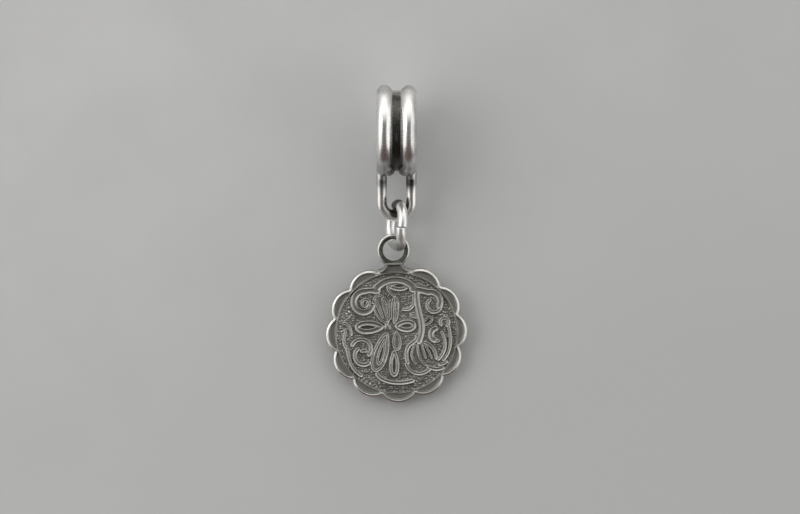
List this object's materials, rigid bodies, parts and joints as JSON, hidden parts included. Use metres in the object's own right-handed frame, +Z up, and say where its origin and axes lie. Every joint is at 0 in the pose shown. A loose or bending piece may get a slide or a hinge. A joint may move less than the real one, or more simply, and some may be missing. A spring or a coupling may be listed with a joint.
{
  "type": "dangle charm",
  "caption": "Antiqued silver dangle charm: a grooved bail bead with a loop, a cut jump ring and a scalloped disc with scrollwork in relief, lying drawn out.",
  "frame": {"origin": "middle of the charm's footprint, on the surface that it lies on", "axes": "+X across the charm, along the bead's bore; +Y along the charm from the medallion to the bead; +Z up from the surface, out of the medallion's face"},
  "size_m": [0.014, 0.0314, 0.009],
  "materials": {
    "polished_silver": "polished silver with a blackened groove and fine wear",
    "bright_wire": "bright drawn silver wire",
    "antiqued_silver": "oxidised cast silver, burnished on the raised lines"
  },
  "bodies": {
    "root": {"bail_bead": "polished_silver", "jump_ring": "bright_wire", "medallion": "antiqued_silver"}
  },
  "joints": []
}
